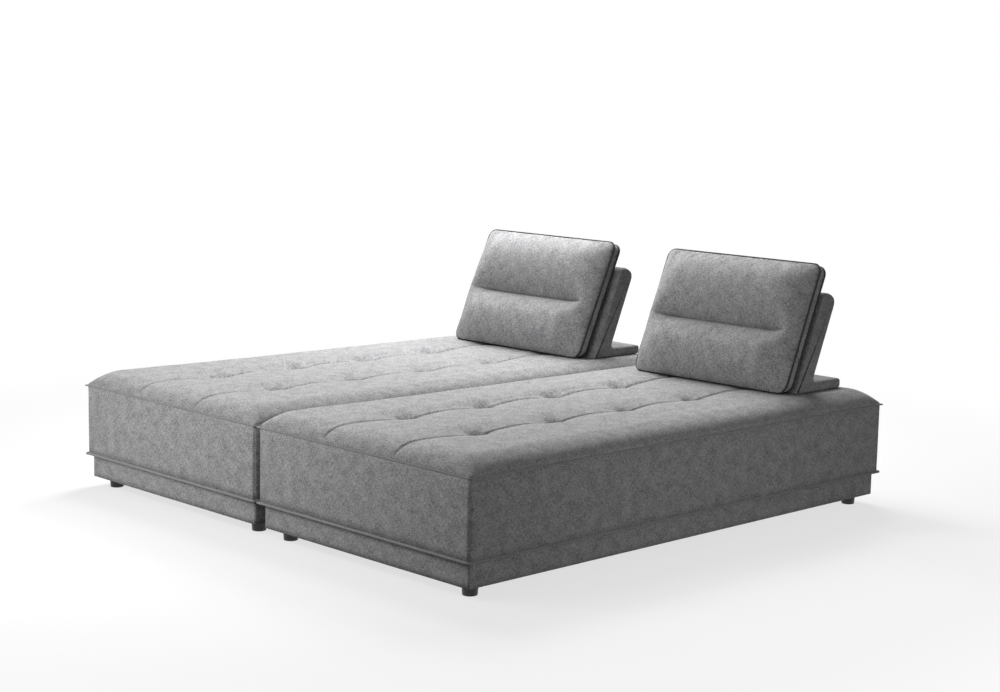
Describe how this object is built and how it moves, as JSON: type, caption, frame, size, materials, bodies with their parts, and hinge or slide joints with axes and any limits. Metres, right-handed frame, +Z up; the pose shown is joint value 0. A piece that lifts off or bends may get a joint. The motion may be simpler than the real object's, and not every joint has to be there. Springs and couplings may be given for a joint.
{
  "type": "sectional sofa",
  "caption": "Sectional sofa: low tufted platform modules side by side, with sliding L-shaped back supports and leaning channelled cushions.",
  "frame": {"origin": "on the floor under the middle of the set, halfway between the modules", "axes": "+X across the set towards the right module, +Y towards the rear, +Z up"},
  "size_m": [1.9336, 1.9116, 0.8281],
  "materials": {
    "heather_weave": "heather mid-grey linen-look weave",
    "support_weave": "the same weave, seen in shade",
    "dark_piping": "charcoal twill piping",
    "upholstery_foam": "open-cell upholstery foam with wadding",
    "elastic_webbing": "woven elastic webbing",
    "black_nonwoven": "black non-woven dust sheet",
    "zip_tape": "closed coil zip on woven tape",
    "frame_timber": "planed softwood",
    "frame_steel": "grey powder coat on steel sheet",
    "black_foot": "matt black moulded plastic",
    "grip_felt": "rubberised felt"
  },
  "bodies": {
    "left_module": {"left_seat_cover": "heather_weave", "left_top_welt": "heather_weave", "left_bottom_welt": "heather_weave", "left_seat_foam": "upholstery_foam", "left_seat_webbing": "elastic_webbing", "left_box_frame": "frame_timber", "left_plinth_cover": "heather_weave", "left_plinth_right_rail": "frame_timber", "left_plinth_left_rail": "frame_timber", "left_plinth_rear_rail": "frame_timber", "left_plinth_front_rail": "frame_timber", "left_dust_cover": "black_nonwoven", "left_foot_rear_right": "black_foot", "left_foot_rear_left": "black_foot", "left_foot_front_right": "black_foot", "left_foot_front_left": "black_foot", "left_corner_block_rear_right": "frame_timber", "left_corner_block_rear_left": "frame_timber", "left_corner_block_front_right": "frame_timber", "left_corner_block_front_left": "frame_timber"},
    "left_support": {"left_support_cover": "support_weave", "left_support_foam": "upholstery_foam", "left_support_frame": "frame_steel", "left_antislip_pad": "grip_felt"},
    "left_cushion": {"left_cushion_cover": "heather_weave", "left_cushion_core": "upholstery_foam", "left_cushion_front_welt": "dark_piping", "left_cushion_back_welt": "dark_piping", "left_cushion_zip": "zip_tape"},
    "right_module": {"right_seat_cover": "heather_weave", "right_top_welt": "heather_weave", "right_bottom_welt": "heather_weave", "right_seat_foam": "upholstery_foam", "right_seat_webbing": "elastic_webbing", "right_box_frame": "frame_timber", "right_plinth_cover": "heather_weave", "right_plinth_right_rail": "frame_timber", "right_plinth_left_rail": "frame_timber", "right_plinth_rear_rail": "frame_timber", "right_plinth_front_rail": "frame_timber", "right_dust_cover": "black_nonwoven", "right_foot_rear_right": "black_foot", "right_foot_rear_left": "black_foot", "right_foot_front_right": "black_foot", "right_foot_front_left": "black_foot", "right_corner_block_rear_right": "frame_timber", "right_corner_block_rear_left": "frame_timber", "right_corner_block_front_right": "frame_timber", "right_corner_block_front_left": "frame_timber"},
    "right_support": {"right_support_cover": "support_weave", "right_support_foam": "upholstery_foam", "right_support_frame": "frame_steel", "right_antislip_pad": "grip_felt"},
    "right_cushion": {"right_cushion_cover": "heather_weave", "right_cushion_core": "upholstery_foam", "right_cushion_front_welt": "dark_piping", "right_cushion_back_welt": "dark_piping", "right_cushion_zip": "zip_tape"}
  },
  "joints": [
    {"name": "left_module_slide", "type": "slide", "parent": "right_module", "child": "left_module", "axis": [-1, 0, 0], "range_m": [-0.009, 0.6]},
    {"name": "left_support_slide", "type": "slide", "parent": "left_module", "child": "left_support", "axis": [0, -1, 0], "range_m": [-0.06, 1.2]},
    {"name": "left_cushion_lift", "type": "slide", "parent": "left_support", "child": "left_cushion", "axis": [0, 0.3827, 0.9239], "range_m": [0, 0.45]},
    {"name": "right_support_slide", "type": "slide", "parent": "right_module", "child": "right_support", "axis": [0, -1, 0], "range_m": [-0.06, 1.2]},
    {"name": "right_cushion_lift", "type": "slide", "parent": "right_support", "child": "right_cushion", "axis": [0, 0.3827, 0.9239], "range_m": [0, 0.45]}
  ]
}
